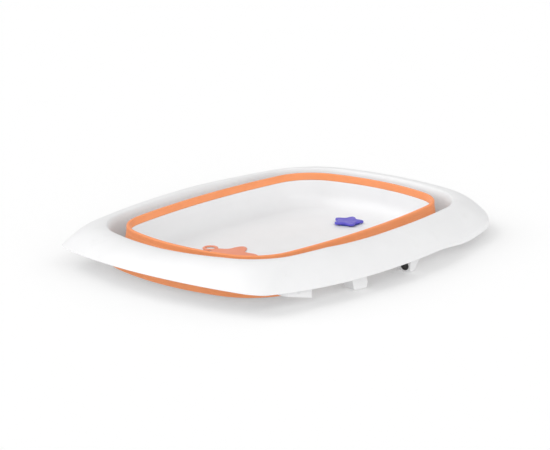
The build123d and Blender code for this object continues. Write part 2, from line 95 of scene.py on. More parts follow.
# Plan outlines: half length, half width, end radius, side radius, corner radius.
OPENING = tuple(v * MM for v in (349, 246, 517, 1563, 138))
END_SHIFT = {"left": 1.9 * MM, "right": -4.0 * MM}
RIM_EDGE_RIGHT = (rim_high.x + END_SHIFT["right"], RIM_HALF_WIDTH, 2000 * MM, 1200 * MM, 145 * MM)
RIM_EDGE_LEFT = (-rim_low.x + END_SHIFT["left"], RIM_HALF_WIDTH, 640 * MM, 1200 * MM, 50 * MM)
BAND_INSIDE = tuple(v * MM for v in (312, 205, 449, 1597, 96))

BAND_WALL = 6.5 * MM
RIM_WALL = 2.5 * MM
PAN_WALL = 2.5 * MM
PAN_DRAFT = math.tan(math.radians(6.3))
PAN_BEND = 32 * MM
SIDE_EDGE_Z = 32 * MM
CORNER_EDGE_Z = {"left": 40 * MM, "right": 35 * MM}
END_EDGE_Z = {"left": 51.5 * MM, "right": 48 * MM}
CORNER_X = {"left": -378 * MM, "right": 370 * MM}
CORNER_Y = {"left": 300 * MM, "right": 244 * MM}
SWEEP_POWER = {"left": 4, "right": 2}
RIM_CROWN = (7 * MM, 9.5 * MM, 5 * MM)
ROLL_POWER = {"left": 1.9, "right": 1.7}
ROLL_CHANGE = 500 * MM
CROWN_X = (-350 * MM, 50 * MM, 350 * MM)
CORNER_CROWN = 10 * MM
MOUTH_REACH = 8 * MM
MOUTH_DEPTH = 16 * MM


# --- Outlines -----------------------------------------------------------------------------------------------

def grow(outline, amount):
    """The parallel outline a distance outside the given one."""
    return tuple(v + amount for v in outline)


def outline_points(outline, left=None, end_steps=18, corner_steps=22, side_steps=20):
    """Points round a rounded rectangle with bowed ends and sides, whose left end may differ from its right."""
    def quarter(end):
        half_length, half_width, end_radius, side_radius, corner_radius = end
        end_centre = half_length - end_radius
        side_centre = half_width - side_radius
        end_distance = end_radius - corner_radius
        side_distance = side_radius - corner_radius
        span = math.hypot(end_centre, side_centre)
        along = (end_distance**2 - side_distance**2 + span**2) / (2 * span)
        across = math.sqrt(end_distance**2 - along**2)
        corner_x = end_centre - (along * end_centre + across * side_centre) / span
        corner_y = (along * side_centre - across * end_centre) / span
        end_angle = math.atan2(corner_y, corner_x - end_centre)
        side_angle = math.atan2(corner_y - side_centre, corner_x)
        points = []
        for centre, radius, start, stop, steps in (
                ((end_centre, 0), end_radius, 0, end_angle, end_steps),
                ((corner_x, corner_y), corner_radius, end_angle, side_angle, corner_steps),
                ((0, side_centre), side_radius, side_angle, math.pi / 2, side_steps)):
            for angle in np.linspace(start, stop, steps, endpoint=False):
                points.append((centre[0] + radius * math.cos(angle), centre[1] + radius * math.sin(angle)))
        return np.array(points + [(0, half_width)])

    upper = np.concatenate([quarter(outline), quarter(left or outline)[-2::-1] * [-1, 1]])
    return np.concatenate([upper, upper[-2:0:-1] * [1, -1]])


# --- Mesh helpers -------------------------------------------------------------------------------------------

def new_object(name, vertices, faces):
    mesh = bpy.data.meshes.new(name)
    mesh.from_pydata([tuple(v) for v in vertices], [], faces)
    mesh.validate()
    work = bmesh.new()
    work.from_mesh(mesh)
    bmesh.ops.recalc_face_normals(work, faces=work.faces)
    work.to_mesh(mesh)
    work.free()
    mesh.shade_smooth()
    obj = bpy.data.objects.new(name, mesh)
    bpy.context.scene.collection.objects.link(obj)
    return obj


def ring_faces(rows, columns, closed_rows):
    """Quads of a grid whose columns run round a ring; rows close too when closed_rows."""
    faces = []
    for row in range(rows if closed_rows else rows - 1):
        below = row * columns
        above = (row + 1) % rows * columns
        for column in range(columns):
            after = (column + 1) % columns
            faces.append((below + column, below + after, above + after, above + column))
    return faces


def lofted(name, rows):
    """A smooth closed piece through rings of points, one ring per row."""
    return new_object(name, np.concatenate(rows), ring_faces(len(rows), len(rows[0]), True))


def capped(name, rows):
    """A smooth piece through rings of points, closed at both ends."""
    columns = len(rows[0])
    vertices = np.concatenate(rows + [[rows[0].mean(0)], [rows[-1].mean(0)]])
    faces = ring_faces(len(rows), columns, False)
    first, last = len(rows) * columns, len(rows) * columns + 1
    top = (len(rows) - 1) * columns
    for column in range(columns):
        after = (column + 1) % columns
        faces.append((first, after, column))
        faces.append((last, top + column, top + after))
    return new_object(name, vertices, faces)


def ring_at(points, z):
    """Plan points at a height, which is one number or one per point."""
    return np.column_stack([points, np.broadcast_to(z, len(points))])


def fillet_arc(centre, radius, start, stop, steps):
    """Points of an arc in a profile plane, by angle in degrees."""
    angles = np.radians(np.linspace(start, stop, steps))
    return [(centre[0] + radius * math.cos(a), centre[1] + radius * math.sin(a)) for a in angles]


def sharpen(obj, degrees):
    """Smooth shading that keeps edges sharper than an angle crisp."""
    obj.data.set_sharp_from_angle(angle=math.radians(degrees))


# --- The rim ------------------------------------------------------------------------------------------------

def rim_edge_height(points):
    """The outer edge sweeps up from the sides to the corners, and again to the middle of each end."""
    x, y = points[:, 0], points[:, 1]
    heights = np.zeros(len(points))
    for end, sign in (("left", -1), ("right", 1)):
        along = np.clip(x / CORNER_X[end], 0, 1)
        across = np.clip(np.abs(y) / CORNER_Y[end], 0, 1)
        side = SIDE_EDGE_Z + (CORNER_EDGE_Z[end] - SIDE_EDGE_Z) * along**SWEEP_POWER[end]
        bow = (END_EDGE_Z[end] - CORNER_EDGE_Z[end]) * (1 - across**2)
        heights = np.where(x * sign >= 0, side + bow, heights)
    return heights


LIP_LENGTH = 15 * MM
LIP_RADIUS = 15 * MM
LIP_BULGE = 3.2 * MM
LIP_START, LIP_END = 90 * MM, 240 * MM
LIP_STEPS = 9
TURN_DEGREES = np.arange(6, 90, 6)
FLANGE_STEPS = 34
FLANGE_POINTS = len(TURN_DEGREES) + FLANGE_STEPS


def lip_length(points):
    """The right end's edge turns under in a rounded lip that fades out along the sides and the end."""
    x, y = points[:, 0], np.abs(points[:, 1])
    along = np.clip((x - LIP_START) / (LIP_END - LIP_START), 0, 1)
    across = np.clip(y / CORNER_Y["right"], 0, 1)
    return np.maximum(LIP_LENGTH * along * along * (3 - 2 * along) * across, 0.4 * MM)


def rim_roll(span, drop, crown, power, lip):
    """The rolled skin and the skin under it, each as (distance out from the opening, height above the mouth).

    The skin starts on the inner wall, turns over the mouth, rises to the crest, rolls down to the edge and ends in
    a lip that curls under."""
    span = span - LIP_BULGE * lip / LIP_LENGTH
    turn = MOUTH_REACH * (1 - np.cos(np.radians(TURN_DEGREES)))
    flange = MOUTH_REACH + (span - MOUTH_REACH) * np.linspace(0, 1, FLANGE_STEPS)
    reach = np.concatenate([turn, flange])
    share = reach / span
    inside = np.clip(1 - reach / MOUTH_REACH, 0, 1)
    sunk = MOUTH_DEPTH * (1 - np.sqrt(1 - inside**2))
    height = crown * 4 * share * (1 - share) - drop * share**power - sunk
    heading = math.atan2(height[-1] - height[-2], reach[-1] - reach[-2])
    headings = heading - lip / LIP_RADIUS * (np.arange(LIP_STEPS) + 0.5) / LIP_STEPS
    curl = np.cumsum(np.stack([np.cos(headings), np.sin(headings)], 1) * lip / LIP_STEPS, axis=0)
    skin = np.concatenate([np.stack([reach, height], 1), curl + (reach[-1], height[-1])])
    tangent = np.gradient(skin, axis=0)
    tangent /= np.linalg.norm(tangent, axis=1)[:, None]
    under = skin + np.stack([tangent[:, 1], -tangent[:, 0]], 1) * RIM_WALL
    under[:, 0] = np.maximum(under[:, 0], RIM_WALL)
    return skin, under


def between_ends(values, x):
    """A value that changes smoothly from the left end's to the right end's."""
    share = np.clip((x + ROLL_CHANGE / 2) / ROLL_CHANGE, 0, 1)
    share = share * share * (3 - 2 * share)
    return values["left"] * (1 - share) + values["right"] * share


rim_inside = outline_points(OPENING)
rim_outside = outline_points(RIM_EDGE_RIGHT, RIM_EDGE_LEFT)
rim_span = np.linalg.norm(rim_outside - rim_inside, axis=1)
rim_direction = (rim_outside - rim_inside) / rim_span[:, None]
rim_drop = BAND_TOP_Z - rim_edge_height(rim_outside)
rim_crown = np.interp(rim_outside[:, 0], CROWN_X, RIM_CROWN)
towards_corner = np.clip(-rim_outside / OPENING[1], 0, 1)
rim_crown += CORNER_CROWN * towards_corner[:, 0]**2 * towards_corner[:, 1]
rim_power = between_ends(ROLL_POWER, rim_outside[:, 0])
rim_lip = lip_length(rim_outside)
rim_rolls = [rim_roll(*numbers) for numbers in zip(rim_span, rim_drop, rim_crown, rim_power, rim_lip)]


def make_rim():
    wall_foot = WALL_FOOT_Z - BAND_TOP_Z
    inner = [(0, z) for z in np.linspace(wall_foot, -MOUTH_DEPTH, 8)]
    sections = []
    for skin, under in rim_rolls:
        slope = skin[-1] - skin[-2]
        heading = math.degrees(math.atan2(slope[1], slope[0]))
        lip = fillet_arc((skin[-1] + under[-1]) / 2, RIM_WALL / 2, heading + 90, heading - 90, 7)[1:-1]
        outer = [(RIM_WALL, z) for z in np.linspace(-MOUTH_DEPTH - 2 * MM, wall_foot, 8)]
        sections.append(np.array(inner + list(map(tuple, skin)) + lip + list(map(tuple, under[::-1])) + outer))
    sections = np.array(sections)
    rows = []
    for index in range(sections.shape[1]):
        reach, height = sections[:, index, 0], sections[:, index, 1]
        rows.append(ring_at(rim_inside + rim_direction * reach[:, None], BAND_TOP_Z + height))
    rim = lofted("rim_shell", rows)
    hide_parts("rim_frame")
    return rim


def under_height(column, reach):
    """Height of the rim's underside at a distance out from the opening, on one spoke."""
    under = rim_rolls[column][1][:FLANGE_POINTS]
    return BAND_TOP_Z + float(np.interp(reach, under[:, 0], under[:, 1]))


def under_height_at(plan):
    """Height of the rim's underside at a plan point, read off the nearest spoke."""
    offsets = plan - rim_inside
    along = np.einsum("ij,ij->i", offsets, rim_direction)
    apart = np.linalg.norm(offsets - rim_direction * along[:, None], axis=1)
    column = int(np.argmin(np.where(along > 0, apart, np.inf)))
    return under_height(column, along[column])


RIB_FOOT_Z = 52 * MM
RIB_PITCH = 62 * MM
RIB_THICKNESS = 2 * MM
RIB_SINK = 0.8 * MM
BOSS_RADIUS = 4.5 * MM
SCREW_BACK = 27 * MM
SCREW_SPREAD = 9 * MM


def make_ribs(screws):
    """Stiffening ribs and screw bosses under the rim."""
    vertices, faces = [], []
    travelled = np.concatenate([[0], np.cumsum(np.linalg.norm(np.diff(rim_outside, axis=0), axis=1))])
    perimeter = travelled[-1] + np.linalg.norm(rim_outside[0] - rim_outside[-1])
    count = int(round(perimeter / RIB_PITCH))
    for mark in (np.arange(count) + 0.5) * perimeter / count:
        column = int(np.argmin(np.abs(travelled - mark)))
        direction = rim_direction[column]
        across = np.array([-direction[1], direction[0]]) * RIB_THICKNESS / 2
        reaches = np.linspace(RIM_WALL * 0.6, rim_span[column], 120)
        heights = np.array([under_height(column, r) for r in reaches])
        far = reaches[heights > RIB_FOOT_Z + 0.5 * MM].max()
        steps = np.linspace(RIM_WALL * 0.6, far, 12)
        start = len(vertices)
        for reach in steps:
            plan = rim_inside[column] + direction * reach
            top = under_height(column, max(reach, RIM_WALL)) + RIB_SINK
            foot = RIB_FOOT_Z + 4 * MM * ((reach - steps[0]) / (far - steps[0])) ** 2
            foot = min(foot, top - 0.5 * MM)
            for side in (-1, 1):
                for z in (foot, top):
                    vertices.append((*(plan + across * side), z))
        for step in range(len(steps) - 1):
            a, b = start + 4 * step, start + 4 * step + 4
            faces += [(a, b, b + 1, a + 1), (a + 2, a + 3, b + 3, b + 2), (a, a + 2, b + 2, b),
                      (a + 1, b + 1, b + 3, a + 3)]
        end = start + 4 * (len(steps) - 1)
        faces += [(start, start + 1, start + 3, start + 2), (end, end + 2, end + 3, end + 1)]
    sides = 24
    for place, seat_z in screws:
        profile = [(2.4 * MM, seat_z + 3 * MM), (2.4 * MM, seat_z), (BOSS_RADIUS - 0.5 * MM, seat_z),
                   (BOSS_RADIUS, seat_z + 0.5 * MM), (BOSS_RADIUS, None)]
        start = len(vertices)
        for radius, z in profile:
            for side in range(sides):
                angle = 2 * math.pi * side / sides
                offset = np.array([radius * math.cos(angle), radius * math.sin(angle)])
                plan = np.array([place.x, place.y]) + offset
                vertices.append((*plan, under_height_at(plan) + RIB_SINK if z is None else z))
        faces += [tuple(start + v for v in face) for face in ring_faces(len(profile), sides, False)]
        for ring in (0, len(profile) - 1):
            faces.append(tuple(start + ring * sides + side for side in range(sides)))
    ribs = new_object("rim_ribs", vertices, faces)
    sharpen(ribs, 40)
    return ribs


# --- The basin ----------------------------------------------------------------------------------------------

DRAIN = Vector(((seat_low.x + seat_high.x) / 2, 0, 0))
DRAIN_RECESS = (seat_high.x - seat_low.x) / 2 + 0.3 * MM
RECESS_DEPTH = 2 * MM
DRAIN_BORE = 16.3 * MM
DRAIN_BOSS = 30 * MM


def circle_points(centre, radius, outline):
    """Points on a circle, one for each point of an outline, in the directions that keep the grid even."""
    rays = outline - np.array([centre.x, centre.y])
    angles = np.unwrap(np.arctan2(rays[:, 1], rays[:, 0]))
    even = np.linspace(angles[0], angles[0] + 2 * math.pi, len(outline), endpoint=False)
    mixed = 0.5 * angles + 0.5 * even
    return np.stack([centre.x + radius * np.cos(mixed), centre.y + radius * np.sin(mixed)], 1)


def pan_wall_profile(offset):
    """(inset from the band, height) down the pan's wall and round its bend, for the face grown by offset."""
    floor = FLOOR_Z - offset
    bend = PAN_BEND + offset
    slope = math.atan(PAN_DRAFT)
    straight_foot = floor + bend * (1 - math.sin(slope))
    heights = np.linspace(BAND_FOOT_Z, straight_foot, 10, endpoint=False)
    profile = [((BAND_FOOT_Z - z) * PAN_DRAFT, z) for z in heights]
    centre = (BAND_FOOT_Z - straight_foot) * PAN_DRAFT + bend * math.cos(slope)
    for angle in np.linspace(slope, math.pi / 2, 16):
        profile.append((centre - bend * math.cos(angle), floor + bend * (1 - math.sin(angle))))
    return profile


def make_pan():
    inner = pan_wall_profile(0)
    rows = [ring_at(outline_points(grow(BAND_INSIDE, -inset)), z) for inset, z in inner]
    floor_outline = outline_points(grow(BAND_INSIDE, -inner[-1][0]))
    drain_top = circle_points(DRAIN, DRAIN_RECESS + 0.6 * MM, floor_outline)
    for share in np.linspace(0, 1, 18)[1:]:
        rows.append(ring_at(floor_outline * (1 - share) + drain_top * share, FLOOR_Z))
    recess_z = FLOOR_Z - RECESS_DEPTH
    for radius, z in ((DRAIN_RECESS + 0.2 * MM, FLOOR_Z - 0.15 * MM), (DRAIN_RECESS, FLOOR_Z - 0.6 * MM),
                      (DRAIN_RECESS, recess_z), (DRAIN_BORE, recess_z), (DRAIN_BORE, recess_z - PAN_WALL),
                      (DRAIN_BOSS, recess_z - PAN_WALL), (DRAIN_BOSS, FLOOR_Z - PAN_WALL)):
        rows.append(ring_at(circle_points(DRAIN, radius, floor_outline), z))
    outer = pan_wall_profile(PAN_WALL)[::-1]
    under_outline = outline_points(grow(BAND_INSIDE, PAN_WALL - outer[0][0]))
    boss = circle_points(DRAIN, DRAIN_BOSS, floor_outline)
    for share in np.linspace(0, 1, 14)[1:-1]:
        rows.append(ring_at(boss * (1 - share) + under_outline * share, FLOOR_Z - PAN_WALL))
    lip_z = BAND_FOOT_Z - PAN_WALL
    rows += [ring_at(outline_points(grow(BAND_INSIDE, PAN_WALL - inset)), z) for inset, z in outer
             if z < lip_z - 1 * MM]
    lip = ((PAN_WALL, lip_z), (BAND_WALL - 0.5 * MM, lip_z), (BAND_WALL, lip_z + 0.5 * MM),
           (BAND_WALL, BAND_FOOT_Z - 0.4 * MM), (BAND_WALL - 0.4 * MM, BAND_FOOT_Z))
    rows += [ring_at(outline_points(grow(BAND_INSIDE, reach)), z) for reach, z in lip]
    pan = lofted("basin_shell", rows)
    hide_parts("basin_pan")
    return pan


def make_band():
    """The soft orange lip that stands on the pan, rounded at the top."""
    top, foot = BAND_TOP_Z, BAND_FOOT_Z
    round_in, round_out = 1.6 * MM, 2.4 * MM
    profile = [(0, z) for z in np.linspace(foot, top - round_in, 6)]
    profile += fillet_arc((round_in, top - round_in), round_in, 180, 90, 7)[1:]
    profile += fillet_arc((BAND_WALL - round_out, top - round_out), round_out, 90, 0, 8)
    profile += [(BAND_WALL, z) for z in np.linspace(top - round_out, foot, 6)[1:]]
    rows = [ring_at(outline_points(grow(BAND_INSIDE, reach)), z) for reach, z in profile]
    band = lofted("bellows_lip", rows)
    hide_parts("bellows_band")
    return band


BEAD_SAG = 3 * MM


def make_collar():
    """The orange bead moulded round the foot of the rim's wall."""
    foot, top = COLLAR_FOOT_Z - BEAD_SAG, COLLAR_TOP_Z
    inside, outside = -2.5 * MM, RIM_WALL + 4 * MM
    radius = (outside - inside) / 2
    profile = [(inside, z) for z in np.linspace(top, foot + radius, 5)]
    profile += fillet_arc(((inside + outside) / 2, foot + radius), radius, 180, 360, 14)[1:-1]
    profile += [(outside, z) for z in np.linspace(foot + radius, top - 1 * MM, 5)]
    profile += [(outside - 0.8 * MM, top), (RIM_WALL, top), (RIM_WALL, WALL_FOOT_Z), (0, WALL_FOOT_Z), (0, top)]
    rows = []
    for reach, z in profile:
        ring = outline_points(grow(OPENING, reach))
        lift = BEAD_SAG * np.clip(np.abs(ring[:, 1]) / OPENING[1], 0, 1)**6 * (top - z) / (top - foot)
        rows.append(ring_at(ring, z + lift))
    collar = lofted("bellows_bead", rows)
    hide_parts("bellows_collar")
    return collar


# The folded bellows in section: (share of the way from the rim's wall to the band, height).
BELLOWS_PATH = ((0.02, 19.0), (0.03, 14.5), (0.12, 11.0), (0.32, 9.6), (0.54, 10.6), (0.72, 15.0), (0.82, 22.0),
                (0.88, 31.0), (0.92, 42.0), (0.96, 54.0), (1.0, 61.0), (1.02, 67.0))
BELLOWS_WALL = 1.6 * MM


def make_bellows():
    """The soft wall between the collar and the band, folded back on itself under the channel."""
    knots = np.array(BELLOWS_PATH)
    gap = np.linalg.norm(outline_points(OPENING)[0] - outline_points(grow(BAND_INSIDE, BAND_WALL))[0])
    flat = np.stack([knots[:, 0] * gap, knots[:, 1] * MM], 1)
    length = np.concatenate([[0], np.cumsum(np.linalg.norm(np.diff(flat, axis=0), axis=1))])
    fine = np.linspace(0, length[-1], 400)
    path = np.stack([np.interp(fine, length, flat[:, 0]), np.interp(fine, length, flat[:, 1])], 1)
    window = np.hanning(41) / np.hanning(41).sum()
    padded = np.concatenate([np.repeat(path[:1], 20, 0), path, np.repeat(path[-1:], 20, 0)])
    path = np.stack([np.convolve(padded[:, i], window, "valid") for i in (0, 1)], 1)[::6]
    tangent = np.gradient(path, axis=0)
    tangent /= np.linalg.norm(tangent, axis=1)[:, None]
    normal = np.stack([tangent[:, 1], -tangent[:, 0]], 1)
    skin = np.concatenate([path + normal * BELLOWS_WALL / 2, (path - normal * BELLOWS_WALL / 2)[::-1]])
    outer, inner = outline_points(OPENING), outline_points(grow(BAND_INSIDE, BAND_WALL))
    rows = [ring_at(outer + (inner - outer) * reach / gap, z) for reach, z in skin]
    wall = lofted("bellows_sleeve", rows)
    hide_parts("bellows_wall")
    return wall


# --- Plug, mat and pads -------------------------------------------------------------------------------------

def star_points(tip, valley, turn, power, shrink=0.0, count=300, short_arm=1.0):
    """A rounded five-armed star; shrink draws the outline in, and short_arm shortens the first arm."""
    angles = np.linspace(0, 2 * math.pi, count, endpoint=False)
    wave = (0.5 + 0.5 * np.cos(5 * (angles - math.radians(turn)))) ** power
    reach = valley + (tip - valley) * wave
    from_first = np.abs((angles - math.radians(turn) + math.pi) % (2 * math.pi) - math.pi)
    reach = np.where(from_first < math.radians(36), valley + (reach - valley) * short_arm, reach)
    points = np.stack([reach * np.cos(angles), reach * np.sin(angles)], 1)
    tangent = np.roll(points, -1, 0) - np.roll(points, 1, 0)
    tangent /= np.linalg.norm(tangent, axis=1)[:, None]
    return points - np.stack([tangent[:, 1], -tangent[:, 0]], 1) * shrink


# The soft arms stop just short of the frame's.
ARM_SHARE = 0.95
PLUG_TURN = 18
PLUG_WAIST = 0.68
PLUG_POINT = 1.25
MAT_TURN = 81


def make_plug_grip():
    """The star grip: soft edges, a raised rim and a shallow thumb dish."""
    foot, top = star_low.z, star_high.z
    height = top - foot
    tip = star_high.y * ARM_SHARE
    centre = np.array([DRAIN.x, 0])
    profile = ((1.6, 0.0), (0.5, 0.02), (0.1, 0.14), (0.0, 0.35), (0.15, 0.62), (0.7, 0.86), (1.7, 0.98), (2.9, 1.0),
               (4.2, 0.96))
    rows = [ring_at(centre + star_points(tip, tip * PLUG_WAIST, PLUG_TURN, PLUG_POINT, shrink * MM),
                    foot + height * share) for shrink, share in profile]
    rim_ring = star_points(tip, tip * PLUG_WAIST, PLUG_TURN, PLUG_POINT, 4.2 * MM)
    for share, drop in ((0.82, 0.90), (0.6, 0.84), (0.35, 0.80), (0.12, 0.79)):
        rows.append(ring_at(centre + rim_ring * share, foot + height * drop))
    grip = capped("plug_grip", rows)
    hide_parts("plug_star")
    return grip


STEM_RADIUS = 12.95 * MM


def turned(name, profile, centre, sides=96):
    """A piece turned round an upright axis from (radius, height) points."""
    angles = np.linspace(0, 2 * math.pi, sides, endpoint=False)
    circle = np.stack([np.cos(angles), np.sin(angles)], 1)
    rows = [ring_at(np.array([centre.x, centre.y]) + circle * radius, z) for radius, z in profile]
    return capped(name, rows)


def make_plug_disc():
    """The dark sealing disc under the grip, and the stem that fills the drain."""
    foot, top = seal_low.z, seal_high.z
    stem = STEM_RADIUS
    reach = (seal_high.x - seal_low.x) / 2
    profile = [(stem - 3 * MM, foot + 1.2 * MM), (stem - 2.4 * MM, foot), (stem - 1 * MM, foot),
               (stem, foot + 1 * MM), (stem, FLOOR_Z - 0.6 * MM), (stem + 0.5 * MM, FLOOR_Z),
               (reach - 0.7 * MM, FLOOR_Z),
               (reach - 0.1 * MM, FLOOR_Z + 0.4 * MM), (reach, FLOOR_Z + 1.2 * MM),
               (reach - 0.4 * MM, top - 0.3 * MM), (reach - 1.2 * MM, top)]
    disc = turned("plug_disc", profile, DRAIN)
    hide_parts("plug_seal")
    return disc


MAT_LOOP_REACH = 56 * MM
MAT_LOOP_RADIUS = 15.5 * MM
MAT_LOOP_BAND = 5.5 * MM


def make_mat():
    """The soft starfish, domed on top, with an open ring at the end of one arm."""
    foot, top = mat_low.z, mat_high.z
    height = top - foot
    tip = (mat_high.x - mat_low.x) / (math.cos(math.radians(9)) + math.cos(math.radians(27)))
    centre = np.array([mat_high.x - tip * math.cos(math.radians(9)), mat_low.y + tip * math.sin(math.radians(63))])
    tip *= ARM_SHARE
    arm = math.radians(MAT_TURN)
    profile = ((0.9, 0.0), (0.2, 0.06), (0.0, 0.25), (0.3, 0.5), (1.3, 0.72), (3.0, 0.86), (6.0, 0.96), (9.0, 1.0))
    star = dict(turn=MAT_TURN, power=1.25, short_arm=0.42)
    rows = [ring_at(centre + star_points(tip, 36 * MM, shrink=shrink * MM, **star), foot + height * share)
            for shrink, share in profile]
    inner = star_points(tip, 36 * MM, shrink=9 * MM, **star)
    for share in (0.75, 0.45, 0.15):
        rows.append(ring_at(centre + inner * share, top))
    body = capped("starfish_body", rows)

    loop_centre = centre + MAT_LOOP_REACH * np.array([math.cos(arm), math.sin(arm)])
    middle = MAT_LOOP_RADIUS - MAT_LOOP_BAND / 2
    sides = 72
    angles = np.linspace(0, 2 * math.pi, sides, endpoint=False)
    circle = np.stack([np.cos(angles), np.sin(angles)], 1)
    rows = []
    for step in range(20):
        turn = 2 * math.pi * step / 20
        bulge = math.copysign(abs(math.cos(turn)) ** 0.8, math.cos(turn))
        lift = math.copysign(abs(math.sin(turn)) ** 0.8, math.sin(turn))
        radius = middle + MAT_LOOP_BAND / 2 * bulge
        rows.append(ring_at(loop_centre + circle * radius, foot + height * (0.5 + 0.5 * lift)))
    loop = lofted("starfish_loop", rows)
    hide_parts("star_mat")
    return body, loop


def grooved_disc(name, radius, thickness, rounding, grooves, depth):
    """A rubber disc in its own axes, with its worn face up and ring grooves in that face."""
    profile = [(radius * 0.3, 0), (radius - 0.2 * MM, 0), (radius, 0.2 * MM), (radius, thickness - rounding)]
    profile += fillet_arc((radius - rounding, thickness - rounding), rounding, 0, 90, 6)[1:]
    for groove in grooves:
        outer, inner = groove + 0.5 * MM, groove - 0.5 * MM
        profile += [(outer + 0.25 * MM, thickness), (outer, thickness - 0.2 * MM),
                    (outer - 0.15 * MM, thickness - depth), (inner + 0.15 * MM, thickness - depth),
                    (inner, thickness - 0.2 * MM), (inner - 0.25 * MM, thickness)]
    return turned(name, profile, Vector((0, 0, 0)), 64)


def make_sole_pad(place, along):
    low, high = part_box(f"foot_pad_{place}")
    centre = (low + high) / 2
    radius = (high.z - low.z) / 2
    thickness = 3 * MM
    pad = grooved_disc(f"sole_pad_{place}", radius, thickness, 1.4 * MM, (5.6 * MM, 3.2 * MM), 0.8 * MM)
    turn = along.to_track_quat("Z", "Y").to_matrix().to_4x4()
    pad.data.transform(Matrix.Translation(centre - along * thickness / 2) @ turn)
    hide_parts(f"foot_pad_{place}")
    return pad


def make_ground_pads():
    """Four round rubber pads let into the underside of the basin."""
    radius = 14.9 * MM
    reach_x = pads_high.x - radius
    reach_y = pads_high.y - radius
    flip = Matrix.Rotation(math.pi, 4, "X")
    work = bmesh.new()
    for x in (-reach_x, reach_x):
        for y in (-reach_y, reach_y):
            pad = grooved_disc("pad", radius, pads_high.z, 0.8 * MM, (10.5 * MM, 6.5 * MM), 0.9 * MM)
            pad.data.transform(Matrix.Translation((x, y, pads_high.z)) @ flip)
            work.from_mesh(pad.data)
            bpy.data.objects.remove(pad)
    mesh = bpy.data.meshes.new("ground_pads")
    work.to_mesh(mesh)
    work.free()
    mesh.shade_smooth()
    pads = bpy.data.objects.new("ground_pads", mesh)
    bpy.context.scene.collection.objects.link(pads)
    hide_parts("base_pads")
    return pads


# --- Materials ----------------------------------------------------------------------------------------------

class Graph:
    """A short way to wire a node material."""

    def __init__(self, name):
        self.material = bpy.data.materials.new(name)
        self.material.use_nodes = True
        self.tree = self.material.node_tree
        self.shader = self.tree.nodes["Principled BSDF"]
        coordinates = self.tree.nodes.new("ShaderNodeTexCoord")
        self.place = coordinates.outputs["Object"]

    def add(self, kind, inputs=(), **settings):
        node = self.tree.nodes.new(kind)
        for key, value in settings.items():
            setattr(node, key, value)
        for key, value in dict(inputs).items():
            if isinstance(value, bpy.types.NodeSocket):
                self.tree.links.new(value, node.inputs[key])
            else:
                node.inputs[key].default_value = value
        return node

    def stretched(self, scale):
        mapping = self.add("ShaderNodeMapping", {"Vector": self.place, "Scale": scale})
        return mapping.outputs["Vector"]

    def noise(self, scale, detail=4.0, vector=None, rough=0.55):
        node = self.add("ShaderNodeTexNoise", {"Vector": vector or self.place, "Scale": scale, "Detail": detail,
                                               "Roughness": rough})
        return node.outputs["Fac"]

    def band(self, value, low, high, to_low=0.0, to_high=1.0):
        node = self.add("ShaderNodeMapRange", {"Value": value, "From Min": low, "From Max": high,
                                               "To Min": to_low, "To Max": to_high})
        return node.outputs["Result"]

    def maths(self, operation, a, b):
        node = self.add("ShaderNodeMath", operation=operation)
        for index, value in enumerate((a, b)):
            if isinstance(value, bpy.types.NodeSocket):
                self.tree.links.new(value, node.inputs[index])
            else:
                node.inputs[index].default_value = value
        return node.outputs["Value"]

    def mix(self, factor, a, b):
        node = self.add("ShaderNodeMix", data_type="RGBA")
        sockets = {socket.identifier: socket for socket in node.inputs}
        for identifier, value in (("Factor_Float", factor), ("A_Color", a), ("B_Color", b)):
            if isinstance(value, bpy.types.NodeSocket):
                self.tree.links.new(value, sockets[identifier])
            else:
                sockets[identifier].default_value = value
        return {socket.identifier: socket for socket in node.outputs}["Result_Color"]

    def bump(self, height, strength, distance, normal=None):
        inputs = {"Height": height, "Strength": strength, "Distance": distance}
        if normal is not None:
            inputs["Normal"] = normal
        return self.add("ShaderNodeBump", inputs).outputs["Normal"]

    def finish(self, colour, roughness, normal, bounce=None):
        if bounce:
            path = self.add("ShaderNodeLightPath")
            colour = self.mix(path.outputs["Is Diffuse Ray"], colour, (*bounce, 1))
        self.tree.links.new(colour, self.shader.inputs["Base Color"])
        self.tree.links.new(roughness, self.shader.inputs["Roughness"])
        self.tree.links.new(normal, self.shader.inputs["Normal"])
        return self.material


def shade(colour, factor):
    return (*(min(1.0, c * factor) for c in colour), 1)


def moulded_plastic(name, colour, roughness, grain_scale, grain, scuff_tint, specular=0.5):
    """Injection-moulded plastic: faint flow mottle, fine grain, rub marks and light scratches."""
    graph = Graph(name)
    mottle = graph.noise(9.0, 3.0)
    flow = graph.noise(2.4, 2.0)
    grain_height = graph.noise(grain_scale, 3.0, rough=0.7)
    streaks = graph.noise(7.0, 6.0, graph.stretched((9.0, 60.0, 30.0)))
    scratches = graph.band(streaks, 0.66, 0.70)
    rubs = graph.maths("MULTIPLY", graph.band(graph.noise(26.0, 5.0), 0.55, 0.72), graph.band(flow, 0.45, 0.62))
    base = graph.mix(graph.band(mottle, 0.3, 0.7), shade(colour, 0.975), shade(colour, 1.015))
    base = graph.mix(graph.maths("MULTIPLY", rubs, 0.25), base, (*scuff_tint, 1))
    base = graph.mix(graph.maths("MULTIPLY", scratches, 0.12), base, (*scuff_tint, 1))
    rough = graph.band(graph.noise(55.0, 4.0), 0.3, 0.7, roughness - 0.05, roughness + 0.07)
    rough = graph.maths("ADD", rough, graph.maths("MULTIPLY", rubs, 0.14))
    rough = graph.maths("ADD", rough, graph.maths("MULTIPLY", scratches, 0.10))
    normal = graph.bump(grain_height, grain, 0.0003)
    normal = graph.bump(mottle, 0.03, 0.002, normal)
    normal = graph.bump(scratches, 0.05, 0.0001, normal)
    graph.shader.inputs["Specular IOR Level"].default_value = specular
    return graph.finish(base, rough, normal)


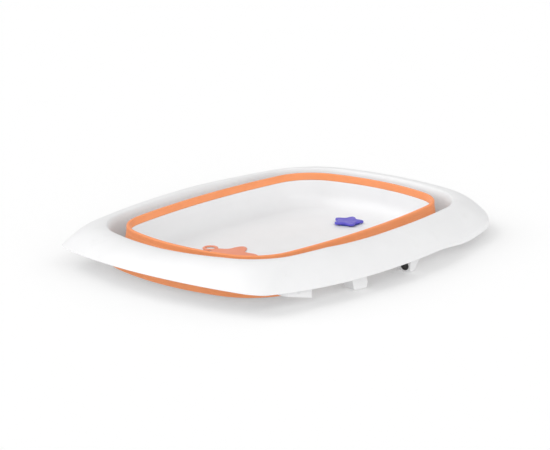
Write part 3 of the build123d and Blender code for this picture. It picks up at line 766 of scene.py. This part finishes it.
def soft_rubber(name, colour, roughness, pore_scale, pore, bloom_tint, bloom=0.2, bounce=None):
    """Soft rubber: matte pores, a pale bloom in patches, flow marks and, given a bounce colour, a faint painted glow
    that only the camera sees.
    """
    graph = Graph(name)
    cells = graph.add("ShaderNodeTexVoronoi", {"Vector": graph.place, "Scale": pore_scale})
    fine = graph.noise(pore_scale * 1.7, 3.0, rough=0.7)
    patches = graph.noise(14.0, 5.0)
    flow = graph.noise(5.0, 4.0, graph.stretched((2.0, 2.0, 14.0)))
    cloudy = graph.band(patches, 0.42, 0.68)
    base = graph.mix(graph.band(flow, 0.3, 0.7), shade(colour, 0.95), shade(colour, 1.03))
    base = graph.mix(graph.maths("MULTIPLY", cloudy, bloom), base, (*bloom_tint, 1))
    rough = graph.band(graph.noise(70.0, 4.0), 0.3, 0.7, roughness - 0.06, roughness + 0.08)
    rough = graph.maths("ADD", rough, graph.maths("MULTIPLY", cloudy, 0.07))
    if bounce:
        # Painted glow: a faint emission of the rubber's own colour, for camera rays only, stands in for light showing
        # through the soft rubber.
        painted_glow_gate = graph.add("ShaderNodeLightPath").outputs["Is Camera Ray"]
        graph.tree.links.new(base, graph.shader.inputs["Emission Color"])
        graph.tree.links.new(graph.maths("MULTIPLY", painted_glow_gate, 0.12), graph.shader.inputs["Emission Strength"])
    normal = graph.bump(cells.outputs["Distance"], pore, 0.0002)
    normal = graph.bump(fine, pore, 0.00015, normal)
    return graph.finish(base, rough, normal, bounce)


def plated_steel(name):
    """Plated steel pins and screws: turning marks, dull patches and small dark specks."""
    graph = Graph(name)
    marks = graph.noise(40.0, 3.0, graph.stretched((1.0, 1.0, 30.0)))
    patches = graph.noise(160.0, 5.0)
    specks = graph.band(graph.noise(900.0, 2.0), 0.68, 0.74)
    base = graph.mix(graph.band(patches, 0.35, 0.7), (0.62, 0.63, 0.65, 1), (0.50, 0.51, 0.52, 1))
    base = graph.mix(graph.maths("MULTIPLY", specks, 0.4), base, (0.22, 0.20, 0.18, 1))
    rough = graph.band(patches, 0.3, 0.7, 0.22, 0.42)
    normal = graph.bump(marks, 0.12, 0.0001)
    graph.shader.inputs["Metallic"].default_value = 1.0
    return graph.finish(base, rough, normal)


FINISHES = {
    "white_rim": moulded_plastic("white_rim", (0.86, 0.86, 0.865), 0.42, 1500.0, 0.10, (0.74, 0.74, 0.73)),
    "white_pan": moulded_plastic("white_pan", (0.87, 0.87, 0.875), 0.36, 1900.0, 0.08, (0.78, 0.78, 0.78)),
    # The orange bellows and the salmon mat carry the painted camera-only glow, and a neutral colour for the light
    # they bounce.
    "orange_bellows": soft_rubber("orange_bellows", (0.87, 0.295, 0.11), 0.52, 900.0, 0.10, (0.92, 0.38, 0.19), 0.2,
                                  (0.75, 0.71, 0.70)),
    "salmon_mat": soft_rubber("salmon_mat", (0.78, 0.275, 0.165), 0.55, 700.0, 0.12, (0.80, 0.36, 0.26), 0.3,
                              (0.55, 0.47, 0.45)),
    "violet_plug": moulded_plastic("violet_plug", (0.11, 0.09, 0.58), 0.38, 1400.0, 0.10, (0.19, 0.17, 0.64)),
    "blue_seal": soft_rubber("blue_seal", (0.025, 0.045, 0.30), 0.5, 900.0, 0.12, (0.06, 0.09, 0.36), 0.25),
    "white_bracket": moulded_plastic("white_bracket", (0.85, 0.85, 0.855), 0.5, 1100.0, 0.16, (0.68, 0.68, 0.67)),
    "white_leg": moulded_plastic("white_leg", (0.85, 0.85, 0.855), 0.46, 1200.0, 0.14, (0.66, 0.66, 0.65)),
    "black_rubber": soft_rubber("black_rubber", (0.022, 0.022, 0.023), 0.62, 1100.0, 0.2, (0.07, 0.068, 0.065), 0.35),
    "grey_rubber": soft_rubber("grey_rubber", (0.055, 0.055, 0.06), 0.6, 1100.0, 0.15, (0.11, 0.11, 0.11), 0.3),
    "grey_fitting": moulded_plastic("grey_fitting", (0.62, 0.62, 0.64), 0.4, 1300.0, 0.12, (0.48, 0.48, 0.48)),
    "steel": plated_steel("steel"),
    "coated_pin": moulded_plastic("coated_pin", (0.80, 0.80, 0.805), 0.35, 1500.0, 0.08, (0.60, 0.60, 0.60)),
}


def dress(obj, slot_name, body=None):
    """Gives a piece its finish, its slot and, for a new piece, the body it rides on."""
    obj.data.materials.clear()
    obj.data.materials.append(FINISHES[slot_name])
    if body:
        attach(obj, body)


# --- Building -----------------------------------------------------------------------------------------------

hinges = {}
for joint in frame["record"]["behaviour"]["joints"]:
    if joint["name"].startswith("leg_fold_"):
        axis = Vector(joint["axis"])
        hinges[joint["name"][len("leg_fold_"):]] = (Vector(joint["pos_m"]), Vector((axis.y, -axis.x, 0)), axis)

screw_places = []
for place, (origin, along, axis) in hinges.items():
    seat_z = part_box(f"hinge_bracket_{place}")[1].z
    for spread in (-SCREW_SPREAD, SCREW_SPREAD):
        screw_places.append((origin - along * SCREW_BACK + axis * spread, seat_z))

dress(make_rim(), "white_rim", "rim")
dress(make_ribs(screw_places), "white_rim", "rim")
dress(make_pan(), "white_pan", "basin")
dress(make_band(), "orange_bellows", "basin")
dress(make_collar(), "orange_bellows", "rim")
bellows = make_bellows()
dress(bellows, "orange_bellows")
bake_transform(bellows)
dress(make_plug_grip(), "violet_plug", "plug")
dress(make_plug_disc(), "blue_seal", "plug")
mat_body, mat_loop = make_mat()
dress(mat_body, "salmon_mat", "basin")
dress(mat_loop, "salmon_mat", "basin")
dress(make_ground_pads(), "black_rubber", "basin")
for place, (origin, along, axis) in hinges.items():
    dress(make_sole_pad(place, along), "black_rubber", f"leg_{place}")

# CAD nodes that stay in view: softened edges and the finish of their slot.
SOFTENED = {"leg_shell": 1.0 * MM, "leg_cover": 0.4 * MM, "hinge_bracket": 0.7 * MM, "hinge_pin": 0.35 * MM,
            "bracket_screws": 0.3 * MM, "drain_seat": 0.35 * MM, "drain_nut": 0.5 * MM, "drain_gasket": 0.2 * MM}
slots = {part["node"]: part["material_slot"] for part in frame["record"]["subparts"]}
for node_name, obj in frame["nodes"].items():
    if obj.hide_render:
        continue
    dress(obj, slots[node_name])
    if node_name.startswith("hinge_pin"):
        obj.data.materials[0] = FINISHES["coated_pin"]
    width = [value for stem, value in SOFTENED.items() if node_name.startswith(stem)][0]
    bevel = obj.modifiers.new("soft edges", "BEVEL")
    bevel.width = width
    bevel.segments = 3
    bevel.limit_method = "ANGLE"
    bevel.angle_limit = math.radians(35)

# --- Stage --------------------------------------------------------------------------------------------------

floor_mesh = bpy.data.meshes.new("floor")
floor_mesh.from_pydata([(-30, -30, 0), (30, -30, 0), (30, 30, 0), (-30, 30, 0)], [], [(0, 1, 2, 3)])
floor = bpy.data.objects.new("floor", floor_mesh)
bpy.context.scene.collection.objects.link(floor)
floor_material = bpy.data.materials.new("floor")
floor_material.use_nodes = True
floor_shader = floor_material.node_tree.nodes["Principled BSDF"]
floor_shader.inputs["Base Color"].default_value = (0.74, 0.74, 0.74, 1)
floor_shader.inputs["Roughness"].default_value = 0.95
floor_shader.inputs["Specular IOR Level"].default_value = 0.1
floor_shader.inputs["Emission Color"].default_value = (1, 1, 1, 1)
floor_shader.inputs["Emission Strength"].default_value = 0.26
floor_mesh.materials.append(floor_material)

# The floor sinks under whatever hangs lowest: the dropped basin, or the sole of a leg that stands.
hinge_origin = hinges["front_left"][0]
sole_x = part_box("foot_pad_front_left")[1].x
standing = (sole_x - hinge_origin.x) - hinge_origin.z
sinking = {"basin": 1}
for place, (origin, along, axis) in hinges.items():
    folded_z = origin.z + origin.dot(along)
    sinking[f"leg_{place}"] = -standing / folded_z
sink = floor.driver_add("location", 2).driver
sink.type = "SCRIPTED"
for body in sinking:
    drop = sink.variables.new()
    drop.name = body
    drop.type = "TRANSFORMS"
    drop.targets[0].id = frame["bodies"][body]
    drop.targets[0].transform_type = "LOC_Z"
    drop.targets[0].transform_space = "WORLD_SPACE"
sink.expression = "min(" + ", ".join(f"{body} * {share:.4f}" for body, share in sinking.items()) + ")"

world = bpy.data.worlds.new("world")
bpy.context.scene.world = world
world.use_nodes = True
world.node_tree.nodes["Background"].inputs["Color"].default_value = (1, 1, 1, 1)
world.node_tree.nodes["Background"].inputs["Strength"].default_value = 0.62


def add_light(name, direction, strength, spread):
    data = bpy.data.lights.new(name, "SUN")
    data.energy = strength
    data.angle = math.radians(spread)
    light = bpy.data.objects.new(name, data)
    bpy.context.scene.collection.objects.link(light)
    light.rotation_euler = Vector(direction).to_track_quat("Z", "Y").to_euler()


add_light("key", (-0.75, 0.95, 1.0), 1.15, 55)
add_light("fill", (-0.50, -1.00, 0.35), 1.35, 80)

VIEW_AZIMUTH = math.radians(-49.87)
VIEW_ELEVATION = math.radians(15.07)
VIEW_DISTANCE = 3.856
back = Vector((math.sin(VIEW_AZIMUTH) * math.cos(VIEW_ELEVATION), -math.cos(VIEW_AZIMUTH) * math.cos(VIEW_ELEVATION),
               math.sin(VIEW_ELEVATION)))
camera_data = bpy.data.cameras.new("camera")
camera_data.lens = 126.9
camera_data.sensor_width = 36
camera_data.shift_x = -0.01647
camera_data.shift_y = -0.02547
camera = bpy.data.objects.new("camera", camera_data)
bpy.context.scene.collection.objects.link(camera)
camera.location = Vector((0, 0, BAND_TOP_Z)) + back * VIEW_DISTANCE
camera.rotation_euler = back.to_track_quat("Z", "Y").to_euler()
bpy.context.scene.camera = camera
bpy.context.scene.view_settings.view_transform = "Standard"
